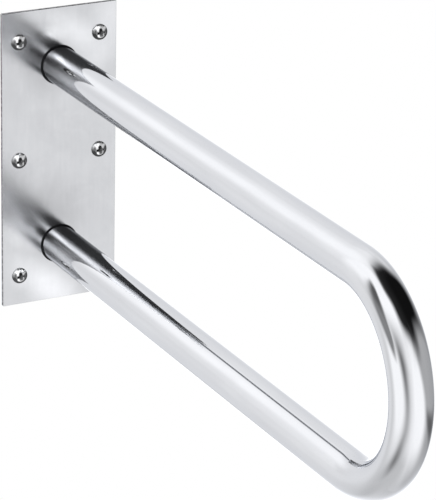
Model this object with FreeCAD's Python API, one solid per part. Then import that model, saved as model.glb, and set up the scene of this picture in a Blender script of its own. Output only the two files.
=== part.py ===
import FreeCAD, Part
import math
import os

# Wall-mounted grab bar: one stainless tube bent to a U, both arms passed through a flat wall
# plate and welded from behind, a black seal round each arm, six pan head screws and their plugs.
# Millimetres. +X runs right along the wall, +Y into the wall, +Z up. The origin is the centre
# of the plate's back face, so the wall's surface is the plane of X and Z.

# The bar
tube_diameter = 32.0
tube_wall = 1.5
arm_spacing = 160.0
reach = 600.0

# The wall plate
plate_width = 105.0
plate_thickness = 3.0
plate_end_margin = 50.0
plate_corner_radius = 1.0
plate_edge_break = 0.3

# The joint between each arm and the plate: a black seal in front, a weld groove behind
arm_gap = 1.25
weld_width = 1.6
weld_depth_share = 0.5
seal_recess_share = 0.1

# The screws
screw_side_margin = 15.5
screw_end_margin = 26.0
screw_length = 60.0
thread_diameter = 6.0
thread_height = 1.0
thread_pitch = 3.0
thread_start_gap = 0.4
point_length = 7.0
ridge_base_share = 0.34
ridge_crest_share = 0.08
point_tip_share = 0.12

# The screw heads and the cross recess in them
head_diameter = 13.6
head_rim_height = 0.5
head_dome_share = 1.8
head_shoulder_share = 0.22
recess_width = 8.6
recess_slot = 2.3
recess_turn_degrees = -8.0
recess_depth_share = 0.62
recess_floor_share = 0.36
recess_core_share = 0.42

# The wall plugs
plug_wall = 1.9
plug_length = 50.0
plug_sink = 2.5
plug_tooth_pitch = 5.0
plug_tooth_depth = 0.5
plug_slit = 1.4
plug_fin_height = 0.9
plug_fin_thickness = 1.0
plug_neck_share = 0.3
plug_tip_share = 0.06
plug_fin_end_share = 0.8

# Clearance round a screw in the plate and in its plug, and how far a cut runs past a face
screw_hole_clearance = 0.5
plug_clearance = 0.1
overrun = 1.0

# Sizes that follow from those above
tube_radius = tube_diameter / 2
bend_radius = arm_spacing / 2
arm_length = reach - tube_radius - bend_radius
plate_height = arm_spacing + 2 * plate_end_margin
arm_hole_radius = tube_radius + arm_gap
weld_depth = plate_thickness * weld_depth_share
seal_recess = plate_thickness * seal_recess_share
screw_column = plate_width / 2 - screw_side_margin
screw_row = plate_height / 2 - screw_end_margin
thread_radius = thread_diameter / 2
core_radius = thread_radius - thread_height
point_start = screw_length - plate_thickness - point_length
point_end = screw_length - plate_thickness
head_radius = head_diameter / 2
screw_hole_radius = thread_radius + screw_hole_clearance
plug_bore = thread_radius + plug_clearance
plug_radius = plug_bore + plug_wall

origin = FreeCAD.Vector(0, 0, 0)
along_x = FreeCAD.Vector(1, 0, 0)
along_y = FreeCAD.Vector(0, 1, 0)


def at(x, y, z):
    return FreeCAD.Vector(x, y, z)


def edge(start, end):
    """A straight edge between two points given as radius and depth."""
    return Part.LineSegment(at(*start, 0), at(*end, 0)).toShape()


def edges_through(points):
    return [edge(a, b) for a, b in zip(points, points[1:])]


def arc(centre, radius, start, end):
    """An arc of radius and depth about a centre, its angles measured from straight out of the wall."""
    angles = (start, (start + end) / 2, end)
    points = [
        at(centre[0] + radius * math.sin(a), centre[1] - radius * math.cos(a), 0)
        for a in angles
    ]
    return Part.Arc(*points).toShape()


def turned(edges):
    """A solid turned about the Y axis from the closed outline that the edges make."""
    return Part.Face(Part.Wire(edges)).revolve(origin, along_y, 360)


def ring(points):
    """A solid turned from an outline of straight edges, closed back to its first point."""
    return turned(edges_through(points + points[:1]))


def tube_section(z):
    """The tube's section at the wall, on the arm at height z: a disc less its bore."""
    disc, bore = (
        Part.Face(Part.Wire(Part.makeCircle(radius, at(0, 0, z), along_y)))
        for radius in (tube_radius, tube_radius - tube_wall)
    )
    return disc.cut(bore).Faces[0]


def u_tube():
    """The bar: two straight arms joined by a half-circle bend, open at its wall ends."""
    upper_arm = tube_section(bend_radius).extrude(at(0, -arm_length, 0))
    lower_arm = tube_section(-bend_radius).extrude(at(0, -arm_length, 0))
    bend_start = tube_section(bend_radius)
    bend_start.translate(at(0, -arm_length, 0))
    bend = bend_start.revolve(at(0, -arm_length, 0), along_x, 180)
    return upper_arm.fuse([bend, lower_arm]).removeSplitter()


def arm_hole():
    """What one arm needs cut from the plate: a round hole that opens to a weld groove behind."""
    return ring([
        (0, -plate_thickness - overrun),
        (arm_hole_radius, -plate_thickness - overrun),
        (arm_hole_radius, -weld_depth),
        (arm_hole_radius + weld_width, 0),
        (arm_hole_radius + weld_width, overrun),
        (0, overrun),
    ])


def screw_hole():
    start = at(0, -plate_thickness - overrun, 0)
    return Part.makeCylinder(screw_hole_radius, plate_thickness + 2 * overrun, start, along_y)


def wall_plate():
    """The plate: sheet with eased corners and edges, two arm holes and six screw holes."""
    corner = at(-plate_width / 2, -plate_thickness, -plate_height / 2)
    sheet = Part.makeBox(plate_width, plate_thickness, plate_height, corner)
    corners = [e for e in sheet.Edges if e.BoundBox.YLength > plate_thickness / 2]
    sheet = sheet.makeFillet(plate_corner_radius, corners)
    rims = [e for e in sheet.Edges if e.BoundBox.YLength < plate_thickness / 2]
    sheet = sheet.makeChamfer(plate_edge_break, rims)
    holes = [placed(arm_hole(), 0, z) for z in arm_heights.values()]
    holes += [placed(screw_hole(), x, z) for x, z in screw_places.values()]
    return sheet.cut(holes)


def weld_ring():
    """The weld that fills the groove round one arm, ground flush with the plate's back."""
    return ring([
        (tube_radius, -weld_depth),
        (arm_hole_radius, -weld_depth),
        (arm_hole_radius + weld_width, 0),
        (tube_radius, 0),
    ])


def seal_ring():
    """The black seal in the gap round one arm, from the weld to just below the plate's front."""
    return ring([
        (tube_radius, seal_recess - plate_thickness),
        (arm_hole_radius, seal_recess - plate_thickness),
        (arm_hole_radius, -weld_depth),
        (tube_radius, -weld_depth),
    ])


def head_outline():
    """Half a pan head, from its crown on the axis to its seat on the plate, and its crown's depth."""
    dome = head_radius * head_dome_share
    shoulder = head_radius * head_shoulder_share
    shoulder_centre = (head_radius - shoulder, -plate_thickness - head_rim_height)
    lean = math.asin(shoulder_centre[0] / (dome - shoulder))
    dome_centre = (0, shoulder_centre[1] + (dome - shoulder) * math.cos(lean))
    edges = [
        arc(dome_centre, dome, 0, lean),
        arc(shoulder_centre, shoulder, lean, math.pi / 2),
        edge((head_radius, shoulder_centre[1]), (head_radius, -plate_thickness)),
        edge((head_radius, -plate_thickness), (core_radius, -plate_thickness)),
    ]
    return edges, dome_centre[1] - dome


def taper_at(depth):
    """How much of the screw's full section is left at a depth: all of it until the point starts."""
    if depth <= point_start:
        return 1
    left = (point_end - depth) / point_length
    return point_tip_share + (1 - point_tip_share) * left


def thread_points():
    """Radius and depth from the neck to the tip: one ridge to each pitch, lower along the point."""
    base = thread_pitch * ridge_base_share
    crest = thread_pitch * ridge_crest_share
    flank = (base - crest) / 2
    points = [(core_radius, -plate_thickness)]
    depth = thread_start_gap
    while depth + thread_pitch < point_end:
        for step, radius in (
            (0, core_radius),
            (flank, thread_radius),
            (flank + crest, thread_radius),
            (base, core_radius),
        ):
            points.append((radius * taper_at(depth + step), depth + step))
        depth += thread_pitch
    points.append((core_radius * point_tip_share, point_end))
    points.append((0, point_end))
    return points


def recess_wing(crown):
    """One wing of the cross recess: a slot across the head that narrows towards its floor."""
    half = recess_width / 2
    floor = crown - (crown + plate_thickness) * recess_depth_share
    side = [
        at(-half, crown - overrun, -recess_slot / 2),
        at(half, crown - overrun, -recess_slot / 2),
        at(half, crown, -recess_slot / 2),
        at(half * recess_floor_share, floor, -recess_slot / 2),
        at(-half * recess_floor_share, floor, -recess_slot / 2),
        at(-half, crown, -recess_slot / 2),
    ]
    return Part.Face(Part.makePolygon(side + side[:1])).extrude(at(0, 0, recess_slot))


def cross_recess(crown):
    """The driver's recess: two crossing wings and the cone where they meet."""
    first = recess_wing(crown)
    second = first.copy()
    second.rotate(origin, along_y, 90)
    core = recess_width / 2 * recess_core_share
    floor = crown - (crown + plate_thickness) * recess_depth_share
    cone = ring([
        (0, crown - overrun),
        (core, crown - overrun),
        (core, crown),
        (0, floor),
    ])
    recess = first.fuse([second, cone])
    recess.rotate(origin, along_y, recess_turn_degrees)
    return recess


def wall_screw():
    """A pan head screw, threaded from just behind the plate to its point."""
    head, crown = head_outline()
    thread = edges_through(thread_points())
    axis = edge((0, point_end), (0, crown))
    return turned(head + thread + [axis]).cut(cross_recess(crown))


def wall_plug():
    """A nylon plug set below the wall's surface: a plain neck with two fins, then split teeth."""
    mouth = plug_sink
    neck_end = mouth + plug_length * plug_neck_share
    tip = mouth + plug_length
    points = [(plug_bore, mouth), (plug_radius, mouth), (plug_radius, neck_end)]
    depth = neck_end
    while depth + plug_tooth_pitch < tip:
        depth += plug_tooth_pitch
        points.append((plug_radius - plug_tooth_depth, depth))
        points.append((plug_radius, depth))
    points.append((plug_radius - plug_tooth_depth, tip))
    points.append((plug_bore, tip))
    body = ring(points)
    fin_reach = 2 * (plug_radius + plug_fin_height)
    fin_length = (neck_end - mouth) * plug_fin_end_share
    fins = Part.makeBox(
        fin_reach,
        fin_length,
        plug_fin_thickness,
        at(-fin_reach / 2, mouth, -plug_fin_thickness / 2),
    )
    bore = Part.makeCylinder(plug_bore, fin_length + 2 * overrun, at(0, mouth - overrun, 0), along_y)
    slit_length = tip - plug_length * plug_tip_share - neck_end
    slit = Part.makeBox(
        2 * (plug_radius + overrun),
        slit_length,
        plug_slit,
        at(-plug_radius - overrun, neck_end, -plug_slit / 2),
    )
    crossing = slit.copy()
    crossing.rotate(origin, along_y, 90)
    return body.fuse(fins.cut(bore)).cut([slit, crossing]).removeSplitter()


def placed(shape, x, z):
    """A copy of a shape made about the origin, carried along the wall to x and z."""
    copy = shape.copy()
    copy.translate(at(x, 0, z))
    return copy


# The two arms, and the screws in two columns and three rows
arm_heights = {"upper": bend_radius, "lower": -bend_radius}
rows = {"top": screw_row, "middle": 0, "bottom": -screw_row}
columns = {"left": -screw_column, "right": screw_column}
screw_places = {
    f"{row}_{column}": (x, z) for row, z in rows.items() for column, x in columns.items()
}

nodes = {"u_tube": u_tube(), "wall_plate": wall_plate()}
for arm, z in arm_heights.items():
    nodes[f"weld_ring_{arm}"] = placed(weld_ring(), 0, z)
    nodes[f"seal_ring_{arm}"] = placed(seal_ring(), 0, z)
for place, (x, z) in screw_places.items():
    nodes[f"screw_{place}"] = placed(wall_screw(), x, z)
    nodes[f"plug_{place}"] = placed(wall_plug(), x, z)

os.makedirs("parts", exist_ok=True)
for name, shape in nodes.items():
    shape.exportStep(f"parts/{name}.step")
    print(name, "solids", len(shape.Solids), "valid", shape.isValid(), "mm3", round(shape.Volume, 1))
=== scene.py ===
import math

import bmesh
import bpy
from mathutils import Matrix, Vector


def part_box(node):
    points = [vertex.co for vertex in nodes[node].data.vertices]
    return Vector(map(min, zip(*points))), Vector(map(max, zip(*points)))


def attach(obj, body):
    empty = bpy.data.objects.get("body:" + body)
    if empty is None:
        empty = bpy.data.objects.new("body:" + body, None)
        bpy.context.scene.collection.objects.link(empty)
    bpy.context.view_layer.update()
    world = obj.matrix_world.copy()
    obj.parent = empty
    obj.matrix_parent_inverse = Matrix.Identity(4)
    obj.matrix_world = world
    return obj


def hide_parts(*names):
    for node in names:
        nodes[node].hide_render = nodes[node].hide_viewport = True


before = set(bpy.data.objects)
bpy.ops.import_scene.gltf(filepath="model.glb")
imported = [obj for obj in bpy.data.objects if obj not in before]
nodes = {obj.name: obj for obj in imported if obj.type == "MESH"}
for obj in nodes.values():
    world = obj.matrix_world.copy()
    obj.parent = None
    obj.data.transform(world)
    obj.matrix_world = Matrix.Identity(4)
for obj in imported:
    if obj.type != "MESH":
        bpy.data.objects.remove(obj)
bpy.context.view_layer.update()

# The bar: one length of 32 mm round stainless tube, bent to a U over a former and then polished
# with belts that run round it. The polish leaves a bright skin, hair-fine rings and the odd
# cloudy patch where the belt was lifted. It is made first, and everything else is fitted to it.
tube_low, tube_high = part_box("u_tube")
tube_radius = tube_high.x
tube_wall = 0.0015
arm_height = tube_high.z - tube_radius
kept_inside = 0.000001
bend_start = tube_low.y + tube_radius + arm_height + kept_inside
tube_sides = 96
bend_steps = 96
straight_steps = 6
crisp_angle = math.radians(35)

bright_steel = (0.585, 0.592, 0.605)
dull_steel = (0.525, 0.532, 0.548)


def put_on(bm, name, material):
    """Turns a finished bmesh into a named piece that rides with the bar."""
    mesh = bpy.data.meshes.new(name)
    bm.to_mesh(mesh)
    bm.free()
    mesh.shade_smooth()
    mesh.set_sharp_from_angle(angle=crisp_angle)
    mesh.materials.append(material)
    piece = bpy.data.objects.new(name, mesh)
    bpy.context.scene.collection.objects.link(piece)
    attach(piece, "root")
    return piece


def pick(geometry, kind):
    """The vertices or the edges, by their kind, among what an operator gives back."""
    return [part for part in geometry if isinstance(part, kind)]


def straight_run(bm, rim, way):
    """Pulls a rim along one arm, away from the wall for -1 and back to it for 1."""
    step = Vector((0, way * -bend_start / straight_steps, 0))
    for _ in range(straight_steps):
        pulled = bmesh.ops.extrude_edge_only(bm, edges=rim)["geom"]
        bmesh.ops.translate(bm, verts=pick(pulled, bmesh.types.BMVert), vec=step)
        rim = [edge for edge in pick(pulled, bmesh.types.BMEdge) if edge.is_boundary]
    return rim


def bent_skin(bm, radius):
    """One skin of the tube, from the upper arm's wall end to the lower one, and its two rims."""
    place = Matrix.Translation((0, 0, arm_height)) @ Matrix.Rotation(math.pi / 2, 4, "X")
    bmesh.ops.create_circle(bm, segments=tube_sides, radius=radius, matrix=place)
    first = [edge for edge in bm.edges if edge.is_wire]
    rim = straight_run(bm, first, -1)
    swept = bmesh.ops.spin(bm, geom=rim, cent=(0, bend_start, 0), axis=(1, 0, 0), dvec=(0, 0, 0),
                           angle=math.pi, steps=bend_steps, use_merge=False,
                           use_normal_flip=False, use_duplicate=False)
    rim = pick(swept["geom_last"], bmesh.types.BMEdge)
    return first, straight_run(bm, rim, 1)


def wrap_tube(bm):
    """Lays the tube's own map on it: turns round the section, and metres along the bend."""
    layer = bm.loops.layers.uv.new("tube_wrap")
    for face in bm.faces:
        first_turn = None
        for loop in face.loops:
            x, y, z = loop.vert.co
            if y > bend_start:
                side = math.copysign(1, z)
                along = side * (y - bend_start)
                out = abs(z) - arm_height
            else:
                swing = math.atan2(z, bend_start - y)
                along = (swing - math.copysign(math.pi / 2, swing)) * arm_height
                out = math.hypot(y - bend_start, z) - arm_height
                side = math.copysign(1, swing)
            along = along + side * math.pi / 2 * arm_height
            turn = math.atan2(x, -out) / math.tau
            if first_turn is None:
                first_turn = turn
            turn -= round(turn - first_turn)
            loop[layer].uv = (turn, along)


def new_material(name):
    material = bpy.data.materials.new(name)
    material.use_nodes = True
    tree = material.node_tree
    tree.nodes.clear()
    out = tree.nodes.new("ShaderNodeOutputMaterial")
    shader = tree.nodes.new("ShaderNodeBsdfPrincipled")
    tree.links.new(shader.outputs["BSDF"], out.inputs["Surface"])
    return material, tree, shader


def add(tree, kind, settings=None, **inputs):
    """A node and its settings. Inputs go by name or as i0, i1, i2, and are values or sockets."""
    node = tree.nodes.new(kind)
    for key, value in (settings or {}).items():
        setattr(node, key, value)
    for key, value in inputs.items():
        place = int(key[1:]) if key[1:].isdigit() else key.replace("_", " ")
        socket = node.inputs[place]
        if isinstance(value, bpy.types.NodeSocket):
            tree.links.new(value, socket)
        else:
            socket.default_value = value
    return node


def calc(tree, operation, a, b=0.0, c=0.0):
    return add(tree, "ShaderNodeMath", {"operation": operation}, i0=a, i1=b, i2=c).outputs[0]


def ramp(tree, value, low, high, start=0.0, end=1.0):
    """A smooth step from start to end while the value goes from low to high."""
    node = add(tree, "ShaderNodeMapRange", {"interpolation_type": "SMOOTHSTEP"}, Value=value,
               From_Min=low, From_Max=high, To_Min=start, To_Max=end)
    return node.outputs["Result"]


def blend(tree, share, a, b):
    """Goes from colour a to colour b as the share rises."""
    node = tree.nodes.new("ShaderNodeMix")
    node.data_type = "RGBA"
    share_socket, a_socket, b_socket = node.inputs[0], node.inputs[6], node.inputs[7]
    for socket, value in ((share_socket, share), (a_socket, a), (b_socket, b)):
        if isinstance(value, bpy.types.NodeSocket):
            tree.links.new(value, socket)
        elif isinstance(value, tuple):
            socket.default_value = (*value, 1.0)
        else:
            socket.default_value = value
    return node.outputs[2]


def new_group(name, inputs, outputs):
    """A shader node group with named sockets, to be filled by the caller."""
    tree = bpy.data.node_groups.new(name, "ShaderNodeTree")
    for label, kind in inputs.items():
        tree.interface.new_socket(label, in_out="INPUT", socket_type=kind)
    for label, kind in outputs.items():
        tree.interface.new_socket(label, in_out="OUTPUT", socket_type=kind)
    return tree, tree.nodes.new("NodeGroupInput").outputs, tree.nodes.new("NodeGroupOutput").inputs


def place_group(tree, group, **inputs):
    node = tree.nodes.new("ShaderNodeGroup")
    node.node_tree = group
    for key, value in inputs.items():
        socket = node.inputs[key.replace("_", " ")]
        if isinstance(value, bpy.types.NodeSocket):
            tree.links.new(value, socket)
        else:
            socket.default_value = value
    return node.outputs


# worn_metal: what a belt and years of hands leave on steel. Stretch is how much closer the marks
# lie along the Vector's Y than along its X and Z. It puts out the fine marks, the cloudy patches
# and a height.
broad_marks = 0.23
worn_metal, given, put = new_group(
    "worn_metal",
    {"Vector": "NodeSocketVector", "Marks": "NodeSocketFloat", "Stretch": "NodeSocketFloat",
     "Clouds": "NodeSocketFloat"},
    {"Marks": "NodeSocketFloat", "Clouds": "NodeSocketFloat", "Height": "NodeSocketFloat"})
squeezed = add(worn_metal, "ShaderNodeCombineXYZ", i0=1.0, i1=given["Stretch"], i2=1.0).outputs[0]
along = add(worn_metal, "ShaderNodeVectorMath", {"operation": "MULTIPLY"},
            i0=given["Vector"], i1=squeezed).outputs[0]
fine = add(worn_metal, "ShaderNodeTexNoise", Vector=along, Scale=given["Marks"], Detail=3.0,
           Roughness=0.6).outputs["Fac"]
coarse = add(worn_metal, "ShaderNodeTexNoise", Vector=along,
             Scale=calc(worn_metal, "MULTIPLY", given["Marks"], broad_marks),
             Detail=2.0).outputs["Fac"]
marks = calc(worn_metal, "ADD", calc(worn_metal, "MULTIPLY", fine, 0.6),
             calc(worn_metal, "MULTIPLY", coarse, 0.4))
clouds = add(worn_metal, "ShaderNodeTexNoise", Vector=given["Vector"], Scale=given["Clouds"],
             Detail=3.0, Roughness=0.55, Distortion=0.4).outputs["Fac"]
worn_metal.links.new(marks, put["Marks"])
worn_metal.links.new(ramp(worn_metal, clouds, 0.36, 0.66), put["Clouds"])
worn_metal.links.new(marks, put["Height"])

# Rings of polish: the section is rolled up again so that the marks close round the tube. The roll
# is wider than the tube, which breaks the marks up on their way round.
mark_roll = 0.12
tube_finish, tree, shader = new_material("tube_belt_polish")
wrapped = add(tree, "ShaderNodeUVMap", {"uv_map": "tube_wrap"}).outputs[0]
parts = add(tree, "ShaderNodeSeparateXYZ", i0=wrapped).outputs
angle = calc(tree, "MULTIPLY", parts[0], math.tau)
rolled = add(tree, "ShaderNodeCombineXYZ",
             i0=calc(tree, "MULTIPLY", calc(tree, "COSINE", angle), mark_roll),
             i1=parts[1],
             i2=calc(tree, "MULTIPLY", calc(tree, "SINE", angle), mark_roll)).outputs[0]
wear = place_group(tree, worn_metal, Vector=rolled, Marks=260.0, Stretch=6.0, Clouds=9.0)
shade = calc(tree, "ADD", calc(tree, "MULTIPLY", wear["Marks"], 0.5),
             calc(tree, "MULTIPLY", wear["Clouds"], 0.4))
tree.links.new(blend(tree, shade, dull_steel, bright_steel), shader.inputs["Base Color"])
tree.links.new(ramp(tree, shade, 0.1, 0.9, 0.075, 0.045), shader.inputs["Roughness"])
relief = add(tree, "ShaderNodeBump", Height=wear["Height"], Strength=0.004, Distance=0.00005)
tree.links.new(relief.outputs[0], shader.inputs["Normal"])
shader.inputs["Metallic"].default_value = 1.0
shader.inputs["Specular Tint"].default_value = (0.72, 0.73, 0.75, 1)

bm = bmesh.new()
outer_rims = bent_skin(bm, tube_radius)
inner_rims = bent_skin(bm, tube_radius - tube_wall)
for outer_rim, inner_rim in zip(outer_rims, inner_rims):
    bmesh.ops.bridge_loops(bm, edges=outer_rim + inner_rim)
bmesh.ops.recalc_face_normals(bm, faces=bm.faces)
wrap_tube(bm)
bar = put_on(bm, "bent_bar", tube_finish)
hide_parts("u_tube")

# The wall plate: 3 mm stainless sheet, sheared, drilled for six screws and cut out for the arms.
# Its satin grain stands upright, its edges are just broken, and behind it shows the heat colours
# of the welds.
plate_low, plate_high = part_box("wall_plate")
satin_light = (0.457, 0.462, 0.472)
satin_dark = (0.375, 0.380, 0.390)
sheared_light = (0.30, 0.30, 0.31)
sheared_dark = (0.10, 0.10, 0.105)
straw = (0.42, 0.35, 0.22)
plum = (0.27, 0.17, 0.23)
blue = (0.22, 0.27, 0.38)
scorched = (0.30, 0.25, 0.19)
weld_reach = 0.0189
straw_end = weld_reach + 0.004
blue_start = weld_reach + 0.006
plum_end = weld_reach + 0.007
blue_full = weld_reach + 0.01
heat_end = weld_reach + 0.013
edge_start = 0.0002
edge_full = 0.00004
back_start = -0.0006
back_full = -0.0002
fine_polish_end = 0.018
satin_start = 0.05
brightest_painted_light = 2.0

plate_finish, tree, shader = new_material("plate_satin")
place = add(tree, "ShaderNodeTexCoord").outputs["Object"]
parts = add(tree, "ShaderNodeSeparateXYZ", i0=place).outputs
upright = add(tree, "ShaderNodeCombineXYZ", i0=parts[0], i1=parts[2], i2=parts[1]).outputs[0]
grain = place_group(tree, worn_metal, Vector=upright, Marks=1100.0, Stretch=0.05, Clouds=26.0)
mottle = add(tree, "ShaderNodeTexNoise", Vector=upright, Scale=150.0, Detail=3.0).outputs["Fac"]
blotches = calc(tree, "ADD", grain["Clouds"], mottle)
shade = calc(tree, "MULTIPLY_ADD", blotches, 0.25, calc(tree, "MULTIPLY", grain["Marks"], 0.5))
face_colour = blend(tree, shade, satin_dark, satin_light)


def painted_light_oval(tree, place, strength, x, z, half_width, half_height, turn):
    """How much lighter or darker a soft oval of painted light or shade makes the metal, as a factor
    on its colour.
    """
    inside = add(tree, "ShaderNodeMapping", {"vector_type": "TEXTURE"}, Vector=place,
                 Location=(x, 0, z), Rotation=(0, math.radians(-turn), 0),
                 Scale=(half_width, 1, half_height)).outputs[0]
    away = add(tree, "ShaderNodeVectorMath", {"operation": "LENGTH"}, i0=inside).outputs["Value"]
    return ramp(tree, away, 0.0, 1.0, 1 + strength, 1.0)


# Broad soft patches of painted light and shade: darker beside the arms, where their reflections are
# painted, and lighter at both ends, where light is painted. Each is its strength, its centre and
# half sizes in metres, and its turn in degrees.
painted_light_patches = (
    (0.42, -0.0104, -0.1178, 0.0586, 0.025, -42),
    (0.6, -0.0062, 0.1131, 0.0487, 0.0259, -27),
    (-0.8, -0.0183, -0.0616, 0.0094, 0.0513, 41),
    (0.6, -0.0239, -0.0634, 0.0393, 0.024, -21),
    (-0.62, -0.028, 0.104, 0.025, 0.008, -39),
    (0.9, -0.011, 0.103, 0.011, 0.008, -39),
    (1.0, -0.0225, -0.062, 0.009, 0.0055, -45),
    (0.6, -0.0253, 0.1063, 0.0377, 0.0127, -1),
    (-0.43, -0.0105, 0.0971, 0.0377, 0.0578, 6),
    (-0.2, -0.0037, -0.058, 0.0438, 0.0594, -1),
    (0.19, 0.0419, 0.1053, 0.026, 0.0663, -20),
)
# Painted light and shade: the patches scale the plate's colour, to no more than twice as light.
painted_light = 1.0
for patch in painted_light_patches:
    painted_light = calc(tree, "MULTIPLY", painted_light, painted_light_oval(tree, place, *patch))
painted_light = calc(tree, "MINIMUM", painted_light, brightest_painted_light)
face_colour = add(tree, "ShaderNodeVectorMath", {"operation": "SCALE"}, i0=face_colour,
                  Scale=painted_light).outputs["Vector"]

# The shears leave the cut edges dark and ragged, with marks straight across the sheet.
to_side = calc(tree, "SUBTRACT", plate_high.x, calc(tree, "ABSOLUTE", parts[0]))
to_end = calc(tree, "SUBTRACT", plate_high.z, calc(tree, "ABSOLUTE", parts[2]))
at_edge = ramp(tree, calc(tree, "MINIMUM", to_side, to_end), edge_full, edge_start, 1.0, 0.0)
tears = add(tree, "ShaderNodeTexNoise", Vector=place, Scale=420.0, Detail=2.0).outputs["Fac"]
edge_colour = blend(tree, ramp(tree, tears, 0.42, 0.6), sheared_dark, sheared_light)

# Behind, the welding has coloured the steel in rings: straw next to the bead, then plum, then blue.
from_arm = calc(tree, "SUBTRACT", calc(tree, "ABSOLUTE", parts[2]), arm_height)
from_arm = calc(tree, "SQRT", calc(tree, "ADD", calc(tree, "MULTIPLY", parts[0], parts[0]),
                                   calc(tree, "MULTIPLY", from_arm, from_arm)))
drift = calc(tree, "MULTIPLY_ADD", grain["Clouds"], 0.004, calc(tree, "MULTIPLY", mottle, 0.003))
heat = calc(tree, "SUBTRACT", from_arm, drift)
heat_colour = blend(tree, ramp(tree, heat, weld_reach, straw_end), scorched, straw)
heat_colour = blend(tree, ramp(tree, heat, straw_end, plum_end), heat_colour, plum)
heat_colour = blend(tree, ramp(tree, heat, blue_start, blue_full), heat_colour, blue)
heated = ramp(tree, heat, blue_start, heat_end, 0.6, 0.0)
behind = ramp(tree, parts[1], back_start, back_full)
heated = calc(tree, "MULTIPLY", heated, behind)
skin_colour = blend(tree, heated, face_colour, heat_colour)
tree.links.new(blend(tree, at_edge, skin_colour, edge_colour), shader.inputs["Base Color"])
# The plate was polished finer close round the arms, before they were put in.
gloss = calc(tree, "ADD", ramp(tree, from_arm, fine_polish_end, satin_start, 0.15, 0.22),
             ramp(tree, shade, 0.1, 0.9, 0.02, -0.02))
tree.links.new(calc(tree, "MULTIPLY_ADD", at_edge, 0.25, gloss), shader.inputs["Roughness"])
height = calc(tree, "MULTIPLY_ADD", calc(tree, "MULTIPLY", tears, at_edge), 3.0, grain["Height"])
relief = add(tree, "ShaderNodeBump", Height=height, Strength=0.16, Distance=0.0001)
tree.links.new(relief.outputs[0], shader.inputs["Normal"])
shader.inputs["Metallic"].default_value = 1.0
nodes["wall_plate"].material_slots[0].material = plate_finish

# The welds: a ring of filler run into the groove round each arm behind the plate, then ground
# flush so that the plate lies flat on the wall. The disc leaves short arcs and a few pinholes.
weld_dull = (0.26, 0.23, 0.2)
weld_bright = (0.46, 0.44, 0.41)
pinhole = (0.05, 0.045, 0.04)

weld_finish, tree, shader = new_material("ground_weld")
place = add(tree, "ShaderNodeTexCoord").outputs["Object"]
skin = place_group(tree, worn_metal, Vector=place, Marks=900.0, Stretch=1.0, Clouds=220.0)
pits = add(tree, "ShaderNodeTexVoronoi", Vector=place, Scale=520.0).outputs["Distance"]
pitted = calc(tree, "MULTIPLY", ramp(tree, pits, 0.1, 0.24, 1.0, 0.0), skin["Clouds"])
weld_colour = blend(tree, skin["Clouds"], weld_dull, weld_bright)
tree.links.new(blend(tree, pitted, weld_colour, pinhole), shader.inputs["Base Color"])
tree.links.new(ramp(tree, skin["Marks"], 0.3, 0.7, 0.48, 0.3), shader.inputs["Roughness"])
height = calc(tree, "SUBTRACT", skin["Height"], pitted)
relief = add(tree, "ShaderNodeBump", Height=height, Strength=0.5, Distance=0.0003)
tree.links.new(relief.outputs[0], shader.inputs["Normal"])
shader.inputs["Metallic"].default_value = 1.0
for level in ("upper", "lower"):
    nodes["weld_ring_" + level].material_slots[0].material = weld_finish

# The seals: a rubber bead in the gap between each arm and the front of the plate, so that water
# can't run in behind. Its near-black colour is painted shade, standing for the shadow in the gap.
gap_shade_black = (0.006, 0.006, 0.007)
gap_shade_light = (0.014, 0.014, 0.015)

seal_shade_finish, tree, shader = new_material("seal_painted_shade")
place = add(tree, "ShaderNodeTexCoord").outputs["Object"]
skin = place_group(tree, worn_metal, Vector=place, Marks=1400.0, Stretch=1.0, Clouds=120.0)
# Painted shade: the bead is coloured near black for the shadow in the gap.
tree.links.new(blend(tree, skin["Clouds"], gap_shade_black, gap_shade_light), shader.inputs["Base Color"])
tree.links.new(ramp(tree, skin["Marks"], 0.3, 0.7, 0.62, 0.5), shader.inputs["Roughness"])
shader.inputs["Specular IOR Level"].default_value = 0.1
for level in ("upper", "lower"):
    nodes["seal_ring_" + level].material_slots[0].material = seal_shade_finish

# The wall plugs: split nylon plugs with teeth and two fins, pushed into the drilled wall until
# they lie just below its face.
nylon_grey = (0.40, 0.41, 0.42)
nylon_pale = (0.48, 0.49, 0.50)

plug_finish, tree, shader = new_material("plug_nylon")
place = add(tree, "ShaderNodeTexCoord").outputs["Object"]
skin = place_group(tree, worn_metal, Vector=place, Marks=700.0, Stretch=1.0, Clouds=90.0)
tree.links.new(blend(tree, skin["Clouds"], nylon_grey, nylon_pale), shader.inputs["Base Color"])
tree.links.new(ramp(tree, skin["Marks"], 0.3, 0.7, 0.55, 0.42), shader.inputs["Roughness"])
for row in ("top", "middle", "bottom"):
    for side in ("left", "right"):
        nodes[f"plug_{row}_{side}"].material_slots[0].material = plug_finish

# The screws: six pan head stainless screws, 6 by 60 mm, with bright rolled heads. The cross recess
# is painted near black as shade, and a painted shadow lies round the rim of each head, mostly
# below.
screw_low, screw_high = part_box("screw_top_right")
screw_column = (screw_low.x + screw_high.x) / 2
screw_row = (screw_low.z + screw_high.z) / 2
head_radius = (screw_high.x - screw_low.x) / 2
dome_radius = head_radius * 1.8
recess_reach = head_radius * 0.68
recess_end = head_radius * 0.72
recess_start = 0.00005
recess_full = 0.0002
screw_dull = (0.78, 0.785, 0.79)
screw_bright = (0.86, 0.865, 0.87)
painted_shade_black = (0.012, 0.012, 0.013)

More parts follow.
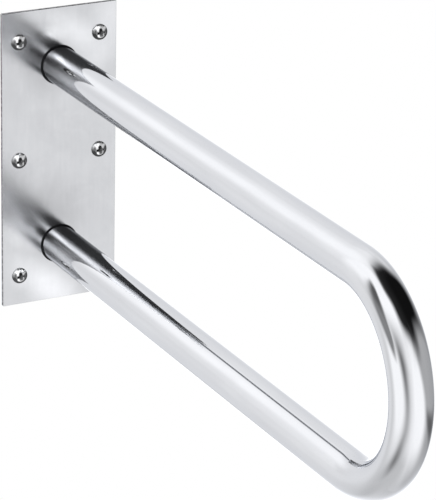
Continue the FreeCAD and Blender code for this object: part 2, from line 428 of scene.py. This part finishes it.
screw_finish, tree, shader = new_material("screw_bright")
place = add(tree, "ShaderNodeTexCoord").outputs["Object"]
parts = add(tree, "ShaderNodeSeparateXYZ", i0=place).outputs
skin = place_group(tree, worn_metal, Vector=place, Marks=1200.0, Stretch=1.0, Clouds=260.0)
head_colour = blend(tree, skin["Clouds"], screw_dull, screw_bright)
nearest_column = calc(tree, "SIGN", parts[0])
nearest_row = calc(tree, "ROUND", calc(tree, "DIVIDE", parts[2], screw_row))
aside = calc(tree, "SUBTRACT", parts[0], calc(tree, "MULTIPLY", nearest_column, screw_column))
aloft = calc(tree, "SUBTRACT", parts[2], calc(tree, "MULTIPLY", nearest_row, screw_row))
out_squared = calc(tree, "ADD", calc(tree, "MULTIPLY", aside, aside),
                   calc(tree, "MULTIPLY", aloft, aloft))
out = calc(tree, "SQRT", out_squared)
fall = calc(tree, "SUBTRACT", dome_radius,
            calc(tree, "SQRT", calc(tree, "SUBTRACT", dome_radius ** 2, out_squared)))
under_crown = calc(tree, "SUBTRACT", calc(tree, "SUBTRACT", parts[1], screw_low.y), fall)
# Painted shade: the cross recess is coloured near black, a little lighter towards its lower right
# side.
sunk = ramp(tree, under_crown, recess_start, recess_full)
on_crown = ramp(tree, out, recess_reach, recess_end, 1.0, 0.0)
before_plate = calc(tree, "LESS_THAN", parts[1], plate_low.y)
recess_shade = calc(tree, "MULTIPLY", calc(tree, "MULTIPLY", sunk, on_crown), before_plate)
recess_lit_side = ramp(tree, calc(tree, "SUBTRACT", aside, aloft), 0.0, head_radius * 0.4, 1.0, 0.75)
recess_shade = calc(tree, "MULTIPLY", recess_shade, recess_lit_side)
# Painted shadow: a dark ring at the shoulder of each head, wider and darker below.
below = calc(tree, "SUBTRACT", calc(tree, "MULTIPLY", aside, 0.25), aloft)
shadow_below = ramp(tree, below, head_radius * -0.67, 0.0, 0.0, 1.0)
out_to = calc(tree, "MULTIPLY_ADD", shadow_below, head_radius * 0.34, out)
shoulder_shadow = ramp(tree, out_to, head_radius * 0.96, head_radius * 1.04, 0.0, before_plate)
shoulder_shadow = calc(tree, "MULTIPLY", shoulder_shadow, calc(tree, "MULTIPLY_ADD", shadow_below, 0.35, 0.61))

# Painted dark reflections on the head: over the recess, to the left and the right of it and at the
# shoulder. Each is its strength, its centre and half sizes in head radii, and its turn in degrees.
on_head = add(tree, "ShaderNodeCombineXYZ", i0=calc(tree, "DIVIDE", aside, head_radius),
              i2=calc(tree, "DIVIDE", aloft, head_radius)).outputs[0]
painted_dark_reflections = (
    (-1, -0.05, 0.19, 0.49, 0.78, 0),
    (-0.91, 0.38, 0.87, 0.22, 0.34, 8),
    (-0.62, -0.71, 0.18, 0.44, 0.73, -4),
    (-0.88, -0.6, -0.61, 0.28, 0.88, -1),
    (-0.97, 0.63, 0.81, 0.21, 0.2, 15),
    (-0.99, 0.55, 0.02, 0.17, 0.84, -3),
    (-0.49, 0.16, -0.41, 0.9, 0.9, 18),
)
reflection_factor = 1.0
for smudge in painted_dark_reflections:
    reflection_factor = calc(tree, "MULTIPLY", reflection_factor, painted_light_oval(tree, on_head, *smudge))
dark_reflection_share = calc(tree, "MULTIPLY", ramp(tree, reflection_factor, 0.3, 0.85, 0.95, 0.0), before_plate)
# All the painted shade, shadow and dark reflections turn the head near black, rougher and not
# metallic.
painted_shade = calc(tree, "MAXIMUM", calc(tree, "MAXIMUM", recess_shade, shoulder_shadow), dark_reflection_share)
tree.links.new(blend(tree, painted_shade, head_colour, painted_shade_black), shader.inputs["Base Color"])
gloss = ramp(tree, skin["Marks"], 0.3, 0.7, 0.13, 0.08)
tree.links.new(calc(tree, "MULTIPLY_ADD", painted_shade, 0.3, gloss), shader.inputs["Roughness"])
tree.links.new(calc(tree, "SUBTRACT", 1.0, painted_shade), shader.inputs["Metallic"])
shader.inputs["Specular IOR Level"].default_value = 0.1
for row in ("top", "middle", "bottom"):
    for side in ("left", "right"):
        nodes[f"screw_{row}_{side}"].material_slots[0].material = screw_finish

# The studio: a pale floor well below the bar, a white room, and the cards that the polished
# tube shows: soft boxes on the left and in front, black felt overhead and up to the right.
floor_drop = 0.8
floor_radius = 1.6
paper_shade = (0.86, 0.86, 0.86)
paper_light = (0.9, 0.9, 0.9)
floor_finish, tree, shader = new_material("floor_paper")
place = add(tree, "ShaderNodeTexCoord").outputs["Object"]
fibre = add(tree, "ShaderNodeTexNoise", Vector=place, Scale=60.0, Detail=4.0).outputs["Fac"]
tree.links.new(blend(tree, fibre, paper_shade, paper_light), shader.inputs["Base Color"])
shader.inputs["Roughness"].default_value = 0.9
shader.inputs["Emission Color"].default_value = (1, 1, 1, 1)
shader.inputs["Emission Strength"].default_value = 0.45

bm = bmesh.new()
bmesh.ops.create_circle(bm, cap_ends=True, segments=96, radius=floor_radius,
                        matrix=Matrix.Translation((0, 0, -floor_drop)))
mesh = bpy.data.meshes.new("floor")
bm.to_mesh(mesh)
bm.free()
mesh.materials.append(floor_finish)
floor = bpy.data.objects.new("floor", mesh)
bpy.context.scene.collection.objects.link(floor)
floor.visible_glossy = False

# The wall that the plate is screwed to. It is plain white from the room and clear from behind.
wall_gap = 0.0001
wall_finish = bpy.data.materials.new("wall_paint")
wall_finish.use_nodes = True
tree = wall_finish.node_tree
tree.nodes.clear()
from_behind = add(tree, "ShaderNodeNewGeometry").outputs["Backfacing"]
paint = add(tree, "ShaderNodeEmission", Color=(1, 1, 1, 1), Strength=1.0).outputs[0]
clear = add(tree, "ShaderNodeBsdfTransparent").outputs[0]
mixed = add(tree, "ShaderNodeMixShader", i0=from_behind, i1=paint, i2=clear).outputs[0]
out = tree.nodes.new("ShaderNodeOutputMaterial")
tree.links.new(mixed, out.inputs["Surface"])

bm = bmesh.new()
bmesh.ops.create_grid(bm, x_segments=1, y_segments=1, size=floor_radius,
                      matrix=Matrix.Translation((0, wall_gap, floor_radius - floor_drop))
                      @ Matrix.Rotation(math.pi / 2, 4, "X"))
mesh = bpy.data.meshes.new("wall")
bm.to_mesh(mesh)
bm.free()
mesh.materials.append(wall_finish)
wall = bpy.data.objects.new("wall", mesh)
bpy.context.scene.collection.objects.link(wall)
wall.visible_diffuse = False
wall.visible_glossy = False
wall.visible_transmission = False
wall.visible_shadow = False

# The sky's cards. A ray that has met the metal twice sees more of them, and a sky that is brighter
# by second_gain.
narrowest_card = 0.02
card_blue = 1.01
second_reflection = 2.5
second_gain = 1.217

# card_mask: where a soft-edged card hangs on the sky. Taper narrows it upwards, Power squares its
# outline, and Crispness is its size over the width of its soft rim.
card_mask, given, put = new_group(
    "card_mask",
    {"Ray": "NodeSocketVector", "Right": "NodeSocketVector", "Ahead": "NodeSocketVector",
     "Up": "NodeSocketVector", "Taper": "NodeSocketFloat", "Power": "NodeSocketFloat",
     "Crispness": "NodeSocketFloat"},
    {"Mask": "NodeSocketFloat"})


def dot(tree, a, b):
    product = add(tree, "ShaderNodeVectorMath", {"operation": "DOT_PRODUCT"}, i0=a, i1=b)
    return product.outputs["Value"]


across = dot(card_mask, given["Ray"], given["Right"])
upward = dot(card_mask, given["Ray"], given["Up"])
ahead = dot(card_mask, given["Ray"], given["Ahead"])
width = calc(card_mask, "MULTIPLY_ADD", given["Taper"], upward, 1.0)
across = calc(card_mask, "DIVIDE", across, calc(card_mask, "MAXIMUM", width, narrowest_card))
both = calc(card_mask, "ADD",
            calc(card_mask, "POWER", calc(card_mask, "ABSOLUTE", across), given["Power"]),
            calc(card_mask, "POWER", calc(card_mask, "ABSOLUTE", upward), given["Power"]))
reach = calc(card_mask, "POWER", both, calc(card_mask, "DIVIDE", 1.0, given["Power"]))
inside = calc(card_mask, "SUBTRACT", 1.0, reach)
soft = ramp(card_mask, calc(card_mask, "MULTIPLY_ADD", inside, given["Crispness"], 0.5), 0.0, 1.0)
facing = calc(card_mask, "GREATER_THAN", ahead, 0.0)
card_mask.links.new(calc(card_mask, "MULTIPLY", soft, facing), put["Mask"])

world = bpy.data.worlds.new("studio")
bpy.context.scene.world = world
world.use_nodes = True
tree = world.node_tree
tree.nodes.clear()
ray = add(tree, "ShaderNodeVectorMath", {"operation": "NORMALIZE"},
          i0=add(tree, "ShaderNodeTexCoord").outputs["Generated"]).outputs[0]
path = add(tree, "ShaderNodeLightPath").outputs
again = calc(tree, "GREATER_THAN", path["Ray Depth"], second_reflection)


def hang_card(light, behind, azimuth, elevation, half_width, half_height, rim,
              turn=0.0, taper=0.0, power=4.0, at=1.0):
    """Hangs a soft-edged card of that brightness on the sky. Angles are in degrees."""
    facing = Matrix.Rotation(math.radians(-azimuth), 3, "Z")
    tipped = Matrix.Rotation(math.radians(elevation), 3, "X")
    rolled = Matrix.Rotation(math.radians(-turn), 3, "Y")
    axes = facing @ tipped @ rolled
    size = math.sqrt(half_width * half_height)
    mask = place_group(tree, card_mask, Ray=ray,
                       Right=axes.col[0] / math.sin(math.radians(half_width)),
                       Ahead=axes.col[1],
                       Up=axes.col[2] / math.sin(math.radians(half_height)),
                       Taper=taper, Power=power, Crispness=size / (2 * rim))["Mask"]
    mask = calc(tree, "MULTIPLY", mask, at)
    return blend(tree, mask, behind, (light, light, light * card_blue))


# What the bend and the arms show, from the whole sky down to the smallest card.
sky = hang_card(1.46, (1.355, 1.355, 1.37), 1, 91, 58, 59, 1.4, taper=0.39, power=1.8)
sky = hang_card(0.924, sky, 5, -88, 68, 34, 15.9, turn=-12, taper=0.34, power=3.7)
sky = hang_card(1.70, sky, -81, 40, 51, 31, 4.9, turn=-26, taper=-0.38, power=2.5)
sky = hang_card(1.70, sky, -22, 36, 13, 21, 10.2, turn=-3, taper=0.12, power=2)
sky = hang_card(0.682, sky, 118, -22, 64, 56, 4.8, turn=-3, taper=0.17, power=2.1)
sky = hang_card(0.214, sky, 94, -28, 31, 5, 8.9, turn=4, taper=0.07, power=2)
sky = hang_card(1.64, sky, 171, -10, 27, 59, 13.2, turn=-14, taper=-0.29, power=2.1)
sky = hang_card(0.131, sky, -104, -11, 38, 34, 16, turn=-23, taper=0.25, power=2.7)
sky = hang_card(1.62, sky, -89, -10, 32, 30, 14, turn=-8, taper=-0.22, power=2.2)
sky = hang_card(0.392, sky, -79, 12, 13, 18, 5.6, turn=-79, taper=0.49, power=3.7)
sky = hang_card(0.194, sky, 0, 89, 20, 19, 6.7, turn=-6, taper=0.3, power=1.6)
sky = hang_card(0.035, sky, 125, 69, 36, 33, 9.2, turn=-35, taper=-0.11, power=3.3)
sky = hang_card(0.0095, sky, 90, 43, 23, 43, 12.5, turn=-29, taper=0.52, power=3)
sky = hang_card(2.43, sky, 25, -31, 8, 22, 16, turn=14, taper=-0.95, power=3.2)
sky = hang_card(0.67, sky, 16, -33, 4, 3, 5.4, taper=-0.34, power=2.7)
sky = hang_card(0.173, sky, -72, 31, 8, 12, 6.1, turn=-20, taper=-0.46, power=3.6)
sky = hang_card(0.056, sky, 150, 41, 3, 5, 15.7, taper=-0.43, power=2.9)
sky = hang_card(0.338, sky, -88, -47, 15, 5, 11.5, turn=-4, taper=0.19, power=2.8)
# What the arms show of each other and of the plate, and the plate of the arms.
sky = hang_card(1.0, sky, 0, 15, 45, 40, 8, power=2.5, at=again)
sky = hang_card(0.235, sky, 0, -32, 42, 30, 6, power=2.5, at=again)
sky = hang_card(0.04, sky, 163, 35, 29.3, 37.2, 5.6, turn=-40, taper=-0.16, power=6.4, at=again)
sky = hang_card(0.003, sky, -152, -1, 4.5, 64.4, 2.4, turn=-3, taper=0.95, power=5.3, at=again)
sky = hang_card(3.269, sky, -164, 31, 4.1, 9.5, 3, turn=29, taper=0.95, power=3.5, at=again)
sky = hang_card(0.003, sky, -170, -28, 16.5, 5.3, 2.3, turn=9, taper=0.95, power=1.6, at=again)
sky = hang_card(0.003, sky, 144, -29, 21.6, 32.2, 10.7, turn=-6, taper=-0.85, power=1.6, at=again)
sky = hang_card(0.141, sky, -172, 67, 44.8, 17.1, 4.7, turn=-8, taper=0.1, power=2.9, at=again)
sky = hang_card(0.003, sky, -155, -22, 4.4, 5.9, 11.7, turn=26, taper=-0.87, power=2.8, at=again)
sky = hang_card(2.103, sky, -141, -10, 8.1, 19.6, 1.2, turn=9, taper=-0.95, power=2.1, at=again)
sky = hang_card(1.948, sky, 139, -33, 8.6, 3, 1.2, turn=1, power=1.6, at=again)

seen = blend(tree, path["Is Camera Ray"], sky, (1.0, 1.0, 1.0))
backing = add(tree, "ShaderNodeBackground", Color=seen,
              Strength=calc(tree, "MULTIPLY_ADD", again, second_gain, 1.0))
world_out = tree.nodes.new("ShaderNodeOutputWorld")
tree.links.new(backing.outputs[0], world_out.inputs["Surface"])
bpy.context.scene.view_settings.view_transform = "Standard"

# The camera stands where the photographer's did: to the left of the bar, a little over two
# metres out from the wall and above it, with a long lens.
camera_place = Vector((-1.0146, -2.2144, 0.8587))
camera_yaw = math.radians(27.851)
camera_dip = math.radians(21.196)
camera_roll = math.radians(1.251)
lens_in_pixels = 3042.7
long_side_pixels = 500
sensor_width = 36.0
farthest_view = 50.0

ahead = Vector((math.sin(camera_yaw) * math.cos(camera_dip),
                math.cos(camera_yaw) * math.cos(camera_dip),
                -math.sin(camera_dip)))
level = Vector((math.cos(camera_yaw), -math.sin(camera_yaw), 0))
above = level.cross(ahead)
right = math.cos(camera_roll) * level + math.sin(camera_roll) * above
above = right.cross(ahead)
lens = bpy.data.cameras.new("camera")
lens.sensor_width = sensor_width
lens.lens = lens_in_pixels * sensor_width / long_side_pixels
lens.clip_end = farthest_view
camera = bpy.data.objects.new("camera", lens)
bpy.context.scene.collection.objects.link(camera)
aimed = Matrix((right, above, -ahead)).transposed().to_4x4()
camera.matrix_world = Matrix.Translation(camera_place) @ aimed
bpy.context.scene.camera = camera
